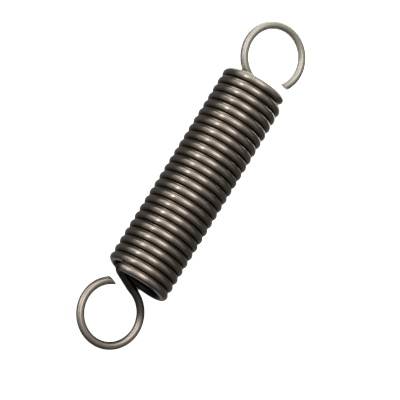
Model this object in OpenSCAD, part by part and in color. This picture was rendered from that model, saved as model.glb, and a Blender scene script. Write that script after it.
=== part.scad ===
// Extension spring with a full crossover loop at each end, wound and bent from one
// length of round wire. It lies on its side: +X runs along the body, +Z is up, and
// both loops lie flat in the plane through the body's axis.

/* [Wire] */
// Thickness of the round wire
wire_d = 1.55; // [1.25:0.05:1.55]

/* [Body] */
// Diameter over the turns
body_od = 12; // [11.6:0.1:12.4]
// Distance from one turn to the next along the body
pitch = 1.6; // [1.6:0.1:2]
// Strands that cross the upper side of the body
strands = 25; // [8:1:30]
// How far the turns lean over along the body, in degrees
lean = 3.5; // [0:0.5:4]

/* [Loops] */
// Clear opening of a loop
loop_id = 9.3; // [8.9:0.1:9.7]
// From the last strand to the middle of the loop, at the -X end
reach_a = 6.6; // [6.5:0.1:7.5]
// From the last strand to the middle of the loop, at the +X end
reach_b = 7; // [6.8:0.1:7.6]
// How far the +X loop sits to the side of the body's axis
side_b = 0.9; // [0:0.1:1.2]
// Open part of the -X loop, in degrees from the body side
gap_a = 57; // [40:1:70]
// Open part of the +X loop, in degrees from the body side
gap_b = 30; // [25:1:45]
// Slant of the cut end of the -X loop, in degrees
cut_a = 22; // [0:1:40]
// Slant of the cut end of the +X loop, in degrees
cut_b = 42; // [0:1:45]

/* [Bends] */
// Where the last turn bends inward at the -X end, in degrees from straight up
end_a = 36; // [30:1:44]
// Where the last turn bends inward at the +X end, in degrees from straight up
end_b = 53; // [46:1:60]
// Middle radius of the tight bend into the crossover
bend_r = 1.4; // [1.2:0.1:1.6]

/* [Hidden] */
$fn = 32;
roll = 22;                     // the half turns meet on a line rolled this far from the loop plane
mean_r = (body_od - wire_d) / 2;
loop_r = (loop_id + wire_d) / 2;
soft_r = 4;                    // middle radius of the soft bend into a loop
join_a = 10;                   // where the crossover meets its loop, degrees from the body side
join_b = 14;
lap = 0.05;                    // how far an inner piece runs into its neighbours
hair = 0.024;                  // how much thinner an inner piece is
body_len = (strands - 1) * pitch;
span = body_len + reach_a + reach_b;      // between the middles of the loops
first_x = -span / 2 + reach_a;            // first strand
lean_rise = mean_r * tan(lean);
upper_rise = pitch / 4 - lean_rise;       // half the travel of an upper half turn
lower_rise = pitch / 4 + lean_rise;
upper_r = norm([mean_r, upper_rise]);
lower_r = norm([mean_r, lower_rise]);
dir_x = [1, 0, 0];
dir_s = [0, cos(roll), sin(roll)];        // across, on the line where half turns meet
dir_u = [0, -sin(roll), cos(roll)];
upper_dir = (dir_s * mean_r - dir_x * upper_rise) / upper_r;
lower_dir = (dir_s * mean_r + dir_x * lower_rise) / lower_r;
axis_z = norm([mean_r * sin(roll), lower_r * cos(roll)]) + (wire_d - hair) / 2;
axis_y = side_b / 2;
start_deg = 90 - (end_a + roll);
stop_deg = 90 + (end_b - roll);

function unit(v) = v / norm(v);

// A bend is [middle, direction to its start, direction it sets off in, radius, degrees].
function bend_end(b) = b[0] + b[3] * (b[1] * cos(b[4]) + b[2] * sin(b[4]));

// The bend of radius r that starts at p along t and ends along d.
function bend_to(p, t, d, r) =
    let (c = max(-1, min(1, t * d)), m = unit(d - c * t))
    [p + r * m, -m, t, r, acos(c)];

// Direction of the straight between a bend out of p and a bend into q.
function straight_dir(p, t, q, s, r1, r2, d, n) =
    n == 0 ? d :
    let (e1 = bend_end(bend_to(p, t, d, r1)), e2 = bend_end(bend_to(q, -s, -d, r2)))
    straight_dir(p, t, q, s, r1, r2, unit(d + unit(e2 - e1)), n - 1);

// A piece of round wire bent to a bend b. An inner piece is a hair thinner and runs a
// little way into the pieces at both its ends.
module bent(b, inner = false, ext = 0) {
    more = inner ? lap / b[3] * 180 / PI : 0;
    e1 = b[1] * cos(more) - b[2] * sin(more);
    e2 = b[2] * cos(more) + b[1] * sin(more);
    w = cross(e1, e2);
    multmatrix([
        [e1[0], e2[0], w[0], b[0][0]],
        [e1[1], e2[1], w[1], b[0][1]],
        [e1[2], e2[2], w[2], b[0][2]],
        [0, 0, 0, 1]])
    rotate_extrude(angle = b[4] + 2 * more + ext)
    translate([b[3], 0])
    circle(d = inner ? wire_d - hair : wire_d);
}

// A straight piece of round wire from p along d.
module straight(p, d, len) {
    e1 = unit(cross(d, abs(d[2]) < 0.9 ? [0, 0, 1] : [0, 1, 0]));
    e2 = cross(d, e1);
    multmatrix([
        [e1[0], e2[0], d[0], p[0]],
        [e1[1], e2[1], d[1], p[1]],
        [e1[2], e2[2], d[2], p[2]],
        [0, 0, 0, 1]])
    cylinder(h = len, d = wire_d);
}

// The turns: half turns that lean alternately and meet face to face.
module turns() {
    for (i = [0 : strands - 1]) {
        x = first_x + i * pitch;
        from = i == 0 ? start_deg : 0;
        to = i == strands - 1 ? stop_deg : 180;
        bent([[x, 0, 0],
            upper_dir * cos(from) + dir_u * sin(from),
            dir_u * cos(from) - upper_dir * sin(from),
            upper_r, to - from]);
        if (i < strands - 1)
            bent([[x + pitch / 2, 0, 0], -lower_dir, -dir_u, lower_r, 180], inner = true);
    }
}

// One loop with its crossover: p, t are the end of the turns and the way the wire leaves
// them; out points away from the body and side the way the crossover runs.
module loop_end(p, t, out, side, off, join, gap, slant) {
    mid = out * span / 2 - side * off;
    q = mid + loop_r * (side * sin(join) - out * cos(join));
    s = out * sin(join) + side * cos(join);
    d = straight_dir(p, t, q, s, bend_r, soft_r, unit(q - p), 40);
    b1 = bend_to(p, t, d, bend_r);
    p1 = bend_end(b1);
    p2 = bend_end(bend_to(q, -s, -d, soft_r));
    b2 = bend_to(p2, d, s, soft_r);
    bent(b1, inner = true);
    straight(p1, d, (p2 - p1) * d);
    bent(b2, inner = true);
    tip = 360 - gap;
    inward = out * cos(tip) - side * sin(tip);
    onward = out * sin(tip) + side * cos(tip);
    face = onward * cos(slant) - inward * sin(slant);
    flat = inward * cos(slant) + onward * sin(slant);
    up = cross(face, flat);
    end = mid - loop_r * inward;
    difference() {
        bent([mid, side * sin(join) - out * cos(join), s, loop_r, tip - join], ext = 12);
        multmatrix([
            [flat[0], up[0], face[0], end[0]],
            [flat[1], up[1], face[1], end[1]],
            [flat[2], up[2], face[2], end[2]],
            [0, 0, 0, 1]])
        translate([-1.4, -1, 0])
        cube([2.8, 2, 2.2]);
    }
}

module spring() {
    color([0.47, 0.44, 0.4])
    translate([0, axis_y, axis_z]) {
        turns();
        loop_end(
            [first_x, 0, 0] + upper_r * (upper_dir * cos(start_deg) + dir_u * sin(start_deg)),
            upper_dir * sin(start_deg) - dir_u * cos(start_deg),
            [-1, 0, 0], [0, -1, 0], 0, join_a, gap_a, cut_a);
        loop_end(
            [first_x + body_len, 0, 0] + upper_r * (upper_dir * cos(stop_deg) + dir_u * sin(stop_deg)),
            dir_u * cos(stop_deg) - upper_dir * sin(stop_deg),
            [1, 0, 0], [0, 1, 0], side_b, join_b, gap_b, cut_b);
    }
}

spring();
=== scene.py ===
import bpy
import math
import numpy as np
from mathutils import Matrix, Vector


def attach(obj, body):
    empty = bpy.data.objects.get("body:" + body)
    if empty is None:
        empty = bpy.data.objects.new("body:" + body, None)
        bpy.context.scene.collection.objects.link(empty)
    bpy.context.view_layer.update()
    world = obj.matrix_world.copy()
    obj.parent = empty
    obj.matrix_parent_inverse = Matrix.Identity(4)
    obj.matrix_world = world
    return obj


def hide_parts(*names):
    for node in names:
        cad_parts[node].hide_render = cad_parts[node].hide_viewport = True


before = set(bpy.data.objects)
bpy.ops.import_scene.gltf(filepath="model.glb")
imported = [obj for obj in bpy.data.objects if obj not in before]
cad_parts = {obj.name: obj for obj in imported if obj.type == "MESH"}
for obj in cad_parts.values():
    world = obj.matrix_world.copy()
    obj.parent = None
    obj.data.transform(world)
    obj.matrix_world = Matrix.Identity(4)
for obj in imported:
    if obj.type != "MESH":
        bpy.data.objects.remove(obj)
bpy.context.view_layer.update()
MM = 0.001

# ---------------------------------------------------------------- the spring, in mm
WIRE = 1.55
BODY_OD = 12.0
PITCH = 1.6
STRANDS = 25
LEAN = math.radians(3.5)
ROLL = math.radians(22.0)
LOOP_ID = 9.3
REACH_A, REACH_B = 6.6, 7.0
SIDE_B = 0.9
GAP_A, GAP_B = 57.0, 30.0
CUT_A, CUT_B = 22.0, 42.0
END_A, END_B = 36.0, 53.0
BEND_R, SOFT_R = 1.4, 4.0
JOIN_A, JOIN_B = 10.0, 14.0
MEAN_R = (BODY_OD - WIRE) / 2
LOOP_R = (LOOP_ID + WIRE) / 2
BODY_LEN = (STRANDS - 1) * PITCH
SPAN = BODY_LEN + REACH_A + REACH_B
FIRST_X = -SPAN / 2 + REACH_A
AXIS = Vector((0.0, SIDE_B / 2, 6.0304))  # the body's axis in the CAD frame

# ---------------------------------------------------------------- the camera
TAU, PHI, PSI = math.radians(13.0), math.radians(31.455), math.radians(22.0)
PX_PER_MM = 5.992
DIST_PX = 3000.0
MID_X, MID_Y = 194.8, 185.1


def V(*c):
    return np.array(c, float)


def unit(v):
    return v / np.linalg.norm(v)


ca = V(-math.sin(PHI) * math.cos(TAU), -math.cos(PHI) * math.cos(TAU), math.sin(TAU))
cb = V(math.cos(PHI), -math.sin(PHI), 0.0)
cc = np.cross(ca, cb)
cl = cb * math.cos(PSI) - cc * math.sin(PSI)
cn = cc * math.cos(PSI) + cb * math.sin(PSI)
# rows: the camera's right, up and back in the CAD frame
CAM_X = V(ca[0], cl[0], cn[0])
CAM_Y = V(ca[1], cl[1], cn[1])
CAM_Z = V(ca[2], cl[2], cn[2])
AIM = np.array(AXIS) * MM


def camera_place():
    off = V((MID_X - 200) / PX_PER_MM, (200 - MID_Y) / PX_PER_MM, 0.0)
    back = DIST_PX / PX_PER_MM
    # the camera stands at (0, 0, back) in its own axes, where the aim point is at off
    place = np.array(AXIS) + CAM_X * (0 - off[0]) + CAM_Y * (0 - off[1]) + CAM_Z * (back - off[2])
    return place * MM


cam_data = bpy.data.cameras.new("camera")
cam = bpy.data.objects.new("camera", cam_data)
bpy.context.scene.collection.objects.link(cam)
cam_data.sensor_width = 36.0
cam_data.lens = 36.0 * DIST_PX / 400.0
cam_data.clip_start = 0.05
cam_data.clip_end = 20.0
p = camera_place()
cam.matrix_world = Matrix(
    (
        (CAM_X[0], CAM_Y[0], CAM_Z[0], p[0]),
        (CAM_X[1], CAM_Y[1], CAM_Z[1], p[1]),
        (CAM_X[2], CAM_Y[2], CAM_Z[2], p[2]),
        (0, 0, 0, 1),
    )
)
bpy.context.scene.camera = cam

# ---------------------------------------------------------------- the wire's path
EX, EY, EZ = V(1, 0, 0), V(0, 1, 0), V(0, 0, 1)
DIR_S = V(0, math.cos(ROLL), math.sin(ROLL))
DIR_U = V(0, -math.sin(ROLL), math.cos(ROLL))


def bend_to(p0, t0, d, r):
    c = max(-1.0, min(1.0, float(np.dot(t0, d))))
    m = unit(d - c * t0)
    return (p0 + r * m, -m, t0, r, math.acos(c))


def bend_end(b):
    return b[0] + b[3] * (b[1] * math.cos(b[4]) + b[2] * math.sin(b[4]))


def link(p0, t0, q, s, r1, r2):
    d = unit(q - p0)
    for _ in range(60):
        e1 = bend_end(bend_to(p0, t0, d, r1))
        e2 = bend_end(bend_to(q, -s, -d, r2))
        d = unit(d + unit(e2 - e1))
    return d


def arc_points(b, step):
    n = max(2, int(math.ceil(b[3] * b[4] / step)))
    t = np.linspace(0.0, b[4], n + 1)
    pts = b[0] + b[3] * (np.outer(np.cos(t), b[1]) + np.outer(np.sin(t), b[2]))
    tan = -np.outer(np.sin(t), b[1]) + np.outer(np.cos(t), b[2])
    return pts, tan


def line_points(p0, d, length, step):
    n = max(2, int(math.ceil(length / step)))
    t = np.linspace(0.0, length, n + 1)
    return p0 + np.outer(t, d), np.tile(d, (n + 1, 1))


def loop_end(p0, t0, out, side, off, join, gap):
    mid = out * SPAN / 2 - side * off
    j = math.radians(join)
    q = mid + LOOP_R * (side * math.sin(j) - out * math.cos(j))
    s = out * math.sin(j) + side * math.cos(j)
    d = link(p0, t0, q, s, BEND_R, SOFT_R)
    b1 = bend_to(p0, t0, d, BEND_R)
    p1 = bend_end(b1)
    p2 = bend_end(bend_to(q, -s, -d, SOFT_R))
    b2 = bend_to(p2, d, s, SOFT_R)
    tip = math.radians(360 - gap)
    ring = (mid, side * math.sin(j) - out * math.cos(j), s, LOOP_R, tip - j)
    parts = [
        arc_points(b1, 0.12),
        line_points(p1, d, float(np.dot(p2 - p1, d)), 0.3),
        arc_points(b2, 0.3),
        arc_points(ring, 0.3),
    ]
    inward = out * math.cos(tip) - side * math.sin(tip)
    onward = out * math.sin(tip) + side * math.cos(tip)
    return parts, mid - LOOP_R * inward, inward, onward


def wire_path():
    lean_rise = MEAN_R * math.tan(LEAN)
    up, low = PITCH / 4 - lean_rise, PITCH / 4 + lean_rise
    r_up, r_low = math.hypot(MEAN_R, up), math.hypot(MEAN_R, low)
    d_up = (DIR_S * MEAN_R - EX * up) / r_up
    d_low = (DIR_S * MEAN_R + EX * low) / r_low
    start = math.radians(90) - (math.radians(END_A) + ROLL)
    stop = math.radians(90) + (math.radians(END_B) - ROLL)
    body = []
    for i in range(STRANDS):
        x = FIRST_X + i * PITCH
        a0 = start if i == 0 else 0.0
        a1 = stop if i == STRANDS - 1 else math.pi
        e1 = d_up * math.cos(a0) + DIR_U * math.sin(a0)
        e2 = DIR_U * math.cos(a0) - d_up * math.sin(a0)
        body.append(arc_points((V(x, 0, 0), e1, e2, r_up, a1 - a0), 0.52))
        if i < STRANDS - 1:
            body.append(arc_points((V(x + PITCH / 2, 0, 0), -d_low, -DIR_U, r_low, math.pi), 0.52))
    pa = V(FIRST_X, 0, 0) + r_up * (d_up * math.cos(start) + DIR_U * math.sin(start))
    ta = d_up * math.sin(start) - DIR_U * math.cos(start)
    pb = V(FIRST_X + BODY_LEN, 0, 0) + r_up * (d_up * math.cos(stop) + DIR_U * math.sin(stop))
    tb = DIR_U * math.cos(stop) - d_up * math.sin(stop)
    la = loop_end(pa, ta, -EX, -EY, 0.0, JOIN_A, GAP_A)
    lb = loop_end(pb, tb, EX, EY, SIDE_B, JOIN_B, GAP_B)
    pts, tan, zone = [], [], []
    for q, t in reversed(la[0]):
        pts.append(q[::-1])
        tan.append(-t[::-1])
        zone.append(np.zeros(len(q)))
    for q, t in body:
        pts.append(q)
        tan.append(t)
        zone.append(np.ones(len(q)))
    for q, t in lb[0]:
        pts.append(q)
        tan.append(t)
        zone.append(np.zeros(len(q)))
    pts, tan, zone = np.concatenate(pts), np.concatenate(tan), np.concatenate(zone)
    keep = np.r_[True, np.linalg.norm(np.diff(pts, axis=0), axis=1) > 1e-4]
    return pts[keep], tan[keep], zone[keep], la, lb


SIDES = 32


def build_wire():
    pts, tan, zone, la, lb = wire_path()
    n = len(pts)
    length = np.r_[0.0, np.cumsum(np.linalg.norm(np.diff(pts, axis=0), axis=1))]
    # frames carried along the path without twist
    nor = np.zeros((n, 3))
    nor[0] = unit(np.cross(tan[0], EZ + V(0.1, 0.2, 0.0)))
    for i in range(1, n):
        v = nor[i - 1] - tan[i] * np.dot(nor[i - 1], tan[i])
        nor[i] = unit(v)
    bit = np.cross(tan, nor)
    ang = np.linspace(0, 2 * math.pi, SIDES, endpoint=False)
    cs, sn = np.cos(ang), np.sin(ang)
    r = WIRE / 2 - 0.001
    radial = cs[None, :, None] * nor[:, None, :] + sn[None, :, None] * bit[:, None, :]
    # the underside keeps inside the CAD solid, whose lower halves are a hair thinner
    slim = r - 0.0125 * np.clip(-pts[:, 2] / MEAN_R, 0, 1) * zone
    rings = pts[:, None, :] + slim[:, None, None] * radial
    # neighbouring turns all but touch, as in the photograph
    rings[:, :, 0] += 0.019 * radial[:, :, 0] * zone[:, None]
    # the cut ends slant: rings near an end slide along the wire towards the cut plane
    bevel = 0.05
    caps = []
    for which, (parts, end, inward, onward), slant in (
        (0, la, math.radians(CUT_A)),
        (1, lb, math.radians(CUT_B)),
    ):
        face = onward * math.cos(slant) - inward * math.sin(slant)
        at_end = length if which == 0 else length[-1] - length
        for i in np.nonzero(at_end < 1.25)[0]:
            w = 1.0 - at_end[i] / 1.25
            c = pts[i]
            t = -tan[i] if which == 0 else tan[i]
            rel = rings[i] - c
            slide = -(rel @ face) / float(np.dot(t, face))
            rings[i] = rings[i] + np.outer(slide * w, t)
        caps.append((face, onward))
    verts = rings.reshape(-1, 3)
    co = np.stack(
        [
            np.tile(r * cs, n),
            np.tile(r * sn, n),
            np.repeat(length, SIDES),
        ],
        1,
    )
    # how far a point faces the neighbouring turn, on the wound body only
    first, last = np.nonzero(zone > 0.5)[0][[0, -1]]
    turn = 2 * math.pi * MEAN_R
    free_a = np.clip(turn + 1 - (length - length[first]), 0, 1)[:, None]
    free_b = np.clip(turn + 1 - (length[last] - length), 0, 1)[:, None]
    free = np.where(radial[:, :, 0] < 0, free_a, free_b)
    groove = (np.abs(radial[:, :, 0]) * zone[:, None] * (1 - free)).reshape(-1)
    # painted shade, near black, where shade falls: inside the body, and on the crossover of the near end
    spoke = pts * V(0, 1, 1)
    spoke /= np.maximum(np.linalg.norm(spoke, axis=1), 1e-6)[:, None]
    inner = -(radial * spoke[:, None, :]).sum(2)
    scale = np.clip((inner - 0.1) / 0.35, 0, 1) * (zone * np.clip((pts[:, 0] + 18.5) / 3, 0, 1))[:, None]
    past = np.clip((length - length[last]) / 0.8, 0, 1) * (length - length[last] < 15)
    fade = np.clip((26.2 - pts[:, 0]) / 3.6, 0, 1)
    scale = np.maximum(scale, (0.87 * past * fade * fade * (3 - 2 * fade))[:, None]).reshape(-1)
    # painted light: the loops are painted lighter, the far one most; the free side of the first turn gets a
    # painted reflection and is matt too
    painted_light = (np.where(pts[:, 0] < 0, 1.0, 0.25) * (1 - zone))[:, None]
    painted_light = np.maximum(painted_light, 2.2 * free_a * zone[:, None] * np.clip(-radial[:, :, 0] * 2.5 + 0.15, 0, 1))
    painted_light = painted_light.reshape(-1)
    faces = []
    for i in range(n - 1):
        a, b = i * SIDES, (i + 1) * SIDES
        for k in range(SIDES):
            m = (k + 1) % SIDES
            faces.append((a + k, a + m, b + m, b + k))
    verts, co, groove, scale, painted_light = list(verts), list(co), list(groove), list(scale), list(painted_light)
    cut = [0.0] * len(verts)
    cap_faces = []
    for which, i in ((0, 0), (1, n - 1)):
        face, onward = caps[which]
        base = i * SIDES
        c = pts[i]
        prev = base
        for shrink, lift in ((0.93, 0.0), (0.62, 0.0), (0.3, 0.0)):
            first = len(verts)
            for k in range(SIDES):
                q = c + (np.array(verts[base + k]) - c) * shrink
                verts.append(q)
                co.append(np.array(co[base + k]) * V(shrink, shrink, 1))
                groove.append(0.0)
                scale.append(0.0)
                painted_light.append(0.0)
                cut.append(1.0)
            for k in range(SIDES):
                m = (k + 1) % SIDES
                f = (prev + k, prev + m, first + m, first + k)
                cap_faces.append(f if which else f[::-1])
            prev = first
        tip = len(verts)
        verts.append(c)
        co.append(V(0, 0, co[base][2]))
        groove.append(0.0)
        scale.append(0.0)
        painted_light.append(0.0)
        cut.append(1.0)
        for k in range(SIDES):
            m = (k + 1) % SIDES
            f = (prev + k, prev + m, tip)
            cap_faces.append(f if which else f[::-1])
    verts = (np.array(verts) + np.array(AXIS)) * MM
    mesh = bpy.data.meshes.new("spring_wire")
    mesh.from_pydata([tuple(v) for v in verts], [], faces + cap_faces)
    mesh.update()
    at = mesh.attributes.new("wire_co", "FLOAT_VECTOR", "POINT")
    at.data.foreach_set("vector", (np.array(co) * MM).astype(np.float32).ravel())
    at = mesh.attributes.new("groove", "FLOAT", "POINT")
    at.data.foreach_set("value", np.array(groove, dtype=np.float32))
    at = mesh.attributes.new("scale", "FLOAT", "POINT")
    at.data.foreach_set("value", np.array(scale, dtype=np.float32))
    at = mesh.attributes.new("painted_light", "FLOAT", "POINT")
    at.data.foreach_set("value", np.array(painted_light, dtype=np.float32))
    at = mesh.attributes.new("cut", "FLOAT", "POINT")
    at.data.foreach_set("value", np.array(cut, dtype=np.float32))
    mesh.shade_smooth()
    mesh.set_sharp_from_angle(angle=math.radians(32))
    obj = bpy.data.objects.new("spring_wire", mesh)
    bpy.context.scene.collection.objects.link(obj)
    return obj


wire = build_wire()
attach(wire, "root")
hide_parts("spring")


# ---------------------------------------------------------------- the metal
def wire_material():
    mat = bpy.data.materials.new("drawn_wire")
    mat.use_nodes = True
    nt = mat.node_tree
    N, L = nt.nodes, nt.links
    N.clear()
    out = N.new("ShaderNodeOutputMaterial")
    bsdf = N.new("ShaderNodeBsdfPrincipled")
    L.new(bsdf.outputs["BSDF"], out.inputs["Surface"])
    bsdf.inputs["Metallic"].default_value = 1.0
    bsdf.inputs["IOR"].default_value = 2.4

    def attr(name):
        n = N.new("ShaderNodeAttribute")
        n.attribute_name = name
        return n

    def scaled(src, vec):
        n = N.new("ShaderNodeVectorMath")
        n.operation = "MULTIPLY"
        L.new(src, n.inputs[0])
        n.inputs[1].default_value = vec
        return n.outputs[0]

    def noise(vec, scale, detail=2.0, rough=0.5):
        n = N.new("ShaderNodeTexNoise")
        n.inputs["Scale"].default_value = scale
        n.inputs["Detail"].default_value = detail
        n.inputs["Roughness"].default_value = rough
        L.new(vec, n.inputs["Vector"])
        return n.outputs["Fac"]

    def remap(src, a, b, c, d):
        n = N.new("ShaderNodeMapRange")
        n.inputs["From Min"].default_value = a
        n.inputs["From Max"].default_value = b
        n.inputs["To Min"].default_value = c
        n.inputs["To Max"].default_value = d
        L.new(src, n.inputs["Value"])
        return n.outputs["Result"]

    def math_node(op, a, b):
        n = N.new("ShaderNodeMath")
        n.operation = op
        for k, s in enumerate((a, b)):
            if isinstance(s, (int, float)):
                n.inputs[k].default_value = s
            else:
                L.new(s, n.inputs[k])
        return n.outputs[0]

    def mix(fac, c1, c2, kind="MIX"):
        n = N.new("ShaderNodeMix")
        n.data_type = "RGBA"
        n.blend_type = kind
        if isinstance(fac, (int, float)):
            n.inputs["Factor"].default_value = fac
        else:
            L.new(fac, n.inputs["Factor"])
        for sock, c in ((n.inputs[6], c1), (n.inputs[7], c2)):
            if isinstance(c, tuple):
                sock.default_value = (*c, 1.0)
            else:
                L.new(c, sock)
        return n.outputs[2]

    co = attr("wire_co").outputs["Vector"]
    streak = noise(scaled(co, (7000, 7000, 90)), 1.0, 3.0, 0.6)
    fine = noise(scaled(co, (16000, 16000, 260)), 1.0, 2.0, 0.6)
    blotch = noise(scaled(co, (260, 260, 260)), 1.0, 3.0, 0.55)
    groove = attr("groove").outputs["Fac"]
    cut = attr("cut").outputs["Fac"]
    scale = attr("scale").outputs["Fac"]
    steel = mix(remap(streak, 0.3, 0.7, 0.0, 1.0), (0.475, 0.408, 0.347), (0.60, 0.52, 0.445))
    steel = mix(remap(blotch, 0.42, 0.72, 0.0, 0.55), steel, (0.39, 0.325, 0.265))
    # painted light: a lighter colour on the loops and a painted reflection on the first turn's free side
    painted_light = attr("painted_light").outputs["Fac"]
    steel = mix(painted_light, steel, mix(remap(streak, 0.3, 0.7, 0.0, 1.0), (0.575, 0.535, 0.46), (0.665, 0.62, 0.535)))
    # painted shade: the metal darkens towards the neighbouring turns, broken up by random blotches
    groove_shade = remap(math_node("ADD", groove, math_node("MULTIPLY", math_node("SUBTRACT", blotch, 0.5), 0.3)), 0.58, 0.9, 0.0, 0.85)
    steel = mix(groove_shade, steel, (0.135, 0.105, 0.066))
    # painted shade: near-black colour inside the body and on the near end's crossover
    steel = mix(scale, steel, (0.028, 0.028, 0.029))
    steel = mix(cut, steel, (0.30, 0.28, 0.26))
    L.new(steel, bsdf.inputs["Base Color"])
    rough = remap(streak, 0.3, 0.7, 0.17, 0.25)
    rough = math_node("ADD", rough, remap(blotch, 0.4, 0.75, 0.0, 0.09))
    rough = math_node("ADD", rough, math_node("MULTIPLY", cut, 0.2))
    rough = math_node("ADD", rough, math_node("MULTIPLY", groove_shade, 0.12))
    rough = math_node("ADD", rough, math_node("MULTIPLY", scale, 0.15))
    rough = math_node("ADD", rough, math_node("MULTIPLY", painted_light, 0.14))
    L.new(rough, bsdf.inputs["Roughness"])
    height = math_node("ADD", math_node("MULTIPLY", streak, 0.7), math_node("MULTIPLY", fine, 0.3))
    bump = N.new("ShaderNodeBump")
    bump.inputs["Strength"].default_value = 0.35
    bump.inputs["Distance"].default_value = 0.00002
    L.new(height, bump.inputs["Height"])
    L.new(bump.outputs["Normal"], bsdf.inputs["Normal"])
    return mat


wire.data.materials.append(wire_material())

# ---------------------------------------------------------------- floor, world and lights
sc = bpy.context.scene
sc.view_settings.view_transform = "Standard"
sc.view_settings.look = "None"
sc.cycles.filter_width = 1.5

ALONG = unit(EX - CAM_Z * float(np.dot(EX, CAM_Z)))  # along the body, square to the view
ACROSS = unit(np.cross(ALONG, CAM_Z))                # across it
if float(np.dot(ACROSS, CAM_X)) < 0:
    ACROSS = -ACROSS                                 # now towards the picture's lower right


def aim(along, across):
    """The direction at these angles from the camera's own: along > 0 is the picture's lower
    left, across > 0 its lower right."""
    d = CAM_Z * math.cos(math.radians(along)) * math.cos(math.radians(across))
    d = d + ALONG * math.sin(math.radians(along)) * math.cos(math.radians(across))
    return d + ACROSS * math.sin(math.radians(across))


def plane(name, z):
    mesh = bpy.data.meshes.new(name)
    s = 3.0
    mesh.from_pydata([(-s, -s, z), (s, -s, z), (s, s, z), (-s, s, z)], [], [(0, 1, 2, 3)])
    obj = bpy.data.objects.new(name, mesh)
    sc.collection.objects.link(obj)
    mat = bpy.data.materials.new(name)
    mat.use_nodes = True
    mesh.materials.append(mat)
    return obj, mat.node_tree


FLOOR_WHITE = 1.02
BLEED = 4.8
GLOW = 1.4
CARD = 1.3
CARD_TOP = 0.013

# the pale floor, lit until the camera sees plain white. In reflections it is bright only round
# the far end; what the rest of the metal reflects from below is part of the room's light
floor, ft = plane("floor", -0.00002)
ft.nodes.clear()
fo = ft.nodes.new("ShaderNodeOutputMaterial")
fm = ft.nodes.new("ShaderNodeMixShader")
fl = ft.nodes.new("ShaderNodeLightPath")
fd = ft.nodes.new("ShaderNodeAddShader")
fx = ft.nodes.new("ShaderNodeBsdfTransparent")
fg = ft.nodes.new("ShaderNodeEmission")
fg.inputs["Color"].default_value = (0.96, 1.0, 0.95, 1)
fp = ft.nodes.new("ShaderNodeNewGeometry")
fs = ft.nodes.new("ShaderNodeVectorMath")
fs.operation = "DISTANCE"
fs.inputs[1].default_value = (-0.036, 0.010, 0.0)
fr = ft.nodes.new("ShaderNodeMapRange")
fr.interpolation_type = "SMOOTHSTEP"
fr.inputs["From Min"].default_value = 0.024
fr.inputs["From Max"].default_value = 0.012
fr.inputs["To Min"].default_value = 0.0
fr.inputs["To Max"].default_value = GLOW
ft.links.new(fp.outputs["Position"], fs.inputs[0])
ft.links.new(fs.outputs["Value"], fr.inputs["Value"])
ft.links.new(fr.outputs["Result"], fg.inputs["Strength"])
ft.links.new(fx.outputs[0], fd.inputs[0])
ft.links.new(fg.outputs[0], fd.inputs[1])
fe = ft.nodes.new("ShaderNodeEmission")
fe.inputs["Color"].default_value = (1, 1, 1, 1)
fe.inputs["Strength"].default_value = FLOOR_WHITE
ft.links.new(fl.outputs["Is Camera Ray"], fm.inputs["Fac"])
ft.links.new(fd.outputs[0], fm.inputs[1])
ft.links.new(fe.outputs[0], fm.inputs[2])
ft.links.new(fm.outputs[0], fo.inputs["Surface"])

# a low bounce card beyond the far end, out of the camera's sight: the first turn and the far
# loop reflect it, and each other turn is hidden from it by its neighbour
card_mesh = bpy.data.meshes.new("bounce_card")
card_mesh.from_pydata(
    [(-0.044, -0.034, 0.0), (-0.044, 0.034, 0.0), (-0.044, 0.034, CARD_TOP), (-0.044, -0.034, CARD_TOP)],
    [],
    [(0, 1, 2, 3)],
)
card = bpy.data.objects.new("bounce_card", card_mesh)
sc.collection.objects.link(card)
card_mat = bpy.data.materials.new("bounce_card")
card_mat.use_nodes = True
card_mesh.materials.append(card_mat)
card_mat.node_tree.nodes.clear()
card_out = card_mat.node_tree.nodes.new("ShaderNodeOutputMaterial")
card_glow = card_mat.node_tree.nodes.new("ShaderNodeEmission")
card_glow.inputs["Color"].default_value = (0.95, 1.0, 0.93, 1)
card_glow.inputs["Strength"].default_value = CARD
card_mat.node_tree.links.new(card_glow.outputs[0], card_out.inputs["Surface"])
card.visible_camera = False
card.visible_shadow = False

world = bpy.data.worlds.new("world")
sc.world = world
world.use_nodes = True
WN, WL = world.node_tree.nodes, world.node_tree.links
WN.clear()
wo = WN.new("ShaderNodeOutputWorld")
wm = WN.new("ShaderNodeMixShader")
wp = WN.new("ShaderNodeLightPath")
room = WN.new("ShaderNodeBackground")
room.inputs["Strength"].default_value = 1.0
pale = WN.new("ShaderNodeBackground")
pale.inputs["Color"].default_value = (1, 1, 1, 1)
pale.inputs["Strength"].default_value = FLOOR_WHITE
WL.new(wp.outputs["Is Camera Ray"], wm.inputs["Fac"])
WL.new(room.outputs[0], wm.inputs[1])
WL.new(pale.outputs[0], wm.inputs[2])
WL.new(wm.outputs[0], wo.inputs["Surface"])
wt = WN.new("ShaderNodeTexCoord")


def wmath(op, a, b=None):
    n = WN.new("ShaderNodeMath")
    n.operation = op
    for k, s in enumerate((a, b)):
        if isinstance(s, (int, float)):
            n.inputs[k].default_value = s
        elif s is not None:
            WL.new(s, n.inputs[k])
    return n.outputs[0]


def wdot(v):
    n = WN.new("ShaderNodeVectorMath")
    n.operation = "DOT_PRODUCT"
    WL.new(wt.outputs["Generated"], n.inputs[0])
    n.inputs[1].default_value = tuple(v)
    return n.outputs["Value"]


DEG = 180.0 / math.pi
W_ALONG = wmath("MULTIPLY", wmath("ARCTAN2", wdot(ALONG), wdot(CAM_Z)), DEG)
W_ACROSS = wmath("MULTIPLY", wmath("ARCSINE", wdot(ACROSS)), DEG)


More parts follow.
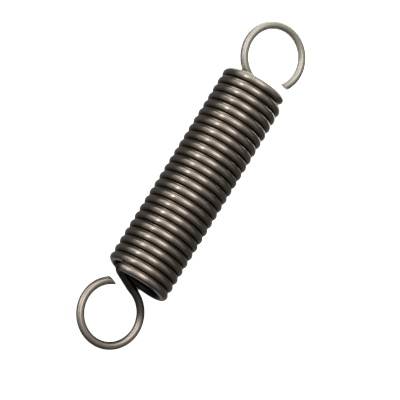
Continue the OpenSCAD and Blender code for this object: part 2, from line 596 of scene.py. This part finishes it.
def ease(src, a, b, up):
    n = WN.new("ShaderNodeMapRange")
    n.interpolation_type = "SMOOTHSTEP"
    WL.new(src, n.inputs["Value"])
    n.inputs["From Min"].default_value = a
    n.inputs["From Max"].default_value = b
    n.inputs["To Min"].default_value = 0.0 if up else 1.0
    n.inputs["To Max"].default_value = 1.0 if up else 0.0
    return n.outputs["Result"]


def panel(al0, al1, ac0, ac1, soft_al, soft_ac, color):
    """A soft-edged panel of light between these angles along and across."""
    f = ease(W_ALONG, al0 - soft_al, al0 + soft_al, True)
    f = wmath("MULTIPLY", f, ease(W_ALONG, al1 - soft_al, al1 + soft_al, False))
    f = wmath("MULTIPLY", f, ease(W_ACROSS, ac0 - soft_ac, ac0 + soft_ac, True))
    f = wmath("MULTIPLY", f, ease(W_ACROSS, ac1 - soft_ac, ac1 + soft_ac, False))
    return f, color


def patch(along, across, core, reach, color):
    """A round patch of light: full inside core degrees from its middle, gone at reach."""
    arc = wmath("MULTIPLY", wmath("ARCCOSINE", wdot(aim(along, across))), DEG)
    return ease(arc, core, reach, False), color


LIGHTS = [
    # the main soft panel, from its far end to its near one
    panel(-92, -60, -72, 25, 8, 6, (0.06, 0.06, 0.06)),
    panel(-60, -40, -72, 25, 8, 6, (1.07, 1.07, 1.07)),
    panel(-40, -20, -72, 25, 8, 6, (0.65, 0.65, 0.65)),
    panel(-20, 0, -72, 25, 8, 6, (0.88, 0.88, 0.88)),
    panel(0, 20, -72, 25, 8, 6, (0.4, 0.4, 0.4)),
    panel(20, 45, -72, 25, 8, 6, (0.3, 0.3, 0.3)),
    # its bright left strip, and the fainter one to the right
    panel(-40, -15, -44, -37, 6, 2, (1.15, 1.15, 1.15)),
    panel(-15, 10, -44, -37, 6, 2, (3.95, 3.95, 3.95)),
    panel(10, 35, -44, -37, 6, 2, (2, 2, 2)),
    panel(-30, -10, 9, 22, 6, 3, (1.6, 1.6, 1.6)),
    panel(-45, 8, -5, 9, 8, 3, (0.66, 0.66, 0.66)),
    # the room: right, left, behind, under, and the two ends
    panel(-75, -20, 25, 58, 10, 6, (0.29, 0.29, 0.29)),
    panel(-20, 35, 25, 58, 10, 6, (0.16, 0.16, 0.16)),
    panel(-80, 60, 58, 84, 12, 6, (0.105, 0.105, 0.105)),
    panel(-80, 60, -90, -72, 12, 6, (0.1, 0.1, 0.1)),
    panel(45, 80, -72, -20, 8, 6, (0.19, 0.19, 0.19)),
    patch(0, -115, 15, 35, (0.05, 0.05, 0.05)),
    patch(0, 115, 15, 35, (0.015, 0.015, 0.015)),
    patch(0, 180, 20, 60, (0.15, 0.15, 0.15)),
    patch(-130, 0, 22, 30, (0.3, 0.3, 0.3)),
    patch(125, 0, 12, 28, (0.2, 0.2, 0.2)),
    patch(0, 0, 120, 200, (0.057, 0.057, 0.057)),
]

total = None
TINTS = []
for f, color in LIGHTS:
    tint = WN.new("ShaderNodeVectorMath")
    tint.operation = "SCALE"
    tint.inputs[0].default_value = color
    WL.new(f, tint.inputs["Scale"])
    TINTS.append(tint)
    if total is None:
        total = tint.outputs[0]
    else:
        n = WN.new("ShaderNodeVectorMath")
        n.operation = "ADD"
        WL.new(total, n.inputs[0])
        WL.new(tint.outputs[0], n.inputs[1])
        total = n.outputs[0]
WL.new(total, room.inputs["Color"])

# overexposed light bleeds a little over the edges that it meets, as in a camera
sc.use_nodes = True
CT = sc.node_tree
CT.nodes.clear()


def cmix(kind, a, b):
    n = CT.nodes.new("CompositorNodeMixRGB")
    n.blend_type = kind
    n.use_clamp = kind != "MULTIPLY"
    n.inputs[0].default_value = 1.0
    for sock, s in ((n.inputs[1], a), (n.inputs[2], b)):
        if isinstance(s, (int, float)):
            sock.default_value = (s, s, s, 1.0)
        else:
            CT.links.new(s, sock)
    return n.outputs[0]


sc.view_layers[0].use_pass_emit = True
layers = CT.nodes.new("CompositorNodeRLayers")
layers.scene = sc
spread = CT.nodes.new("CompositorNodeBlur")
spread.filter_type = "GAUSS"
spread.size_x = spread.size_y = 2
CT.links.new(cmix("SUBTRACT", layers.outputs["Emit"], 0.3), spread.inputs["Image"])
shown = cmix("ADD", layers.outputs["Image"], cmix("MULTIPLY", spread.outputs[0], BLEED))
composite = CT.nodes.new("CompositorNodeComposite")
CT.links.new(shown, composite.inputs["Image"])
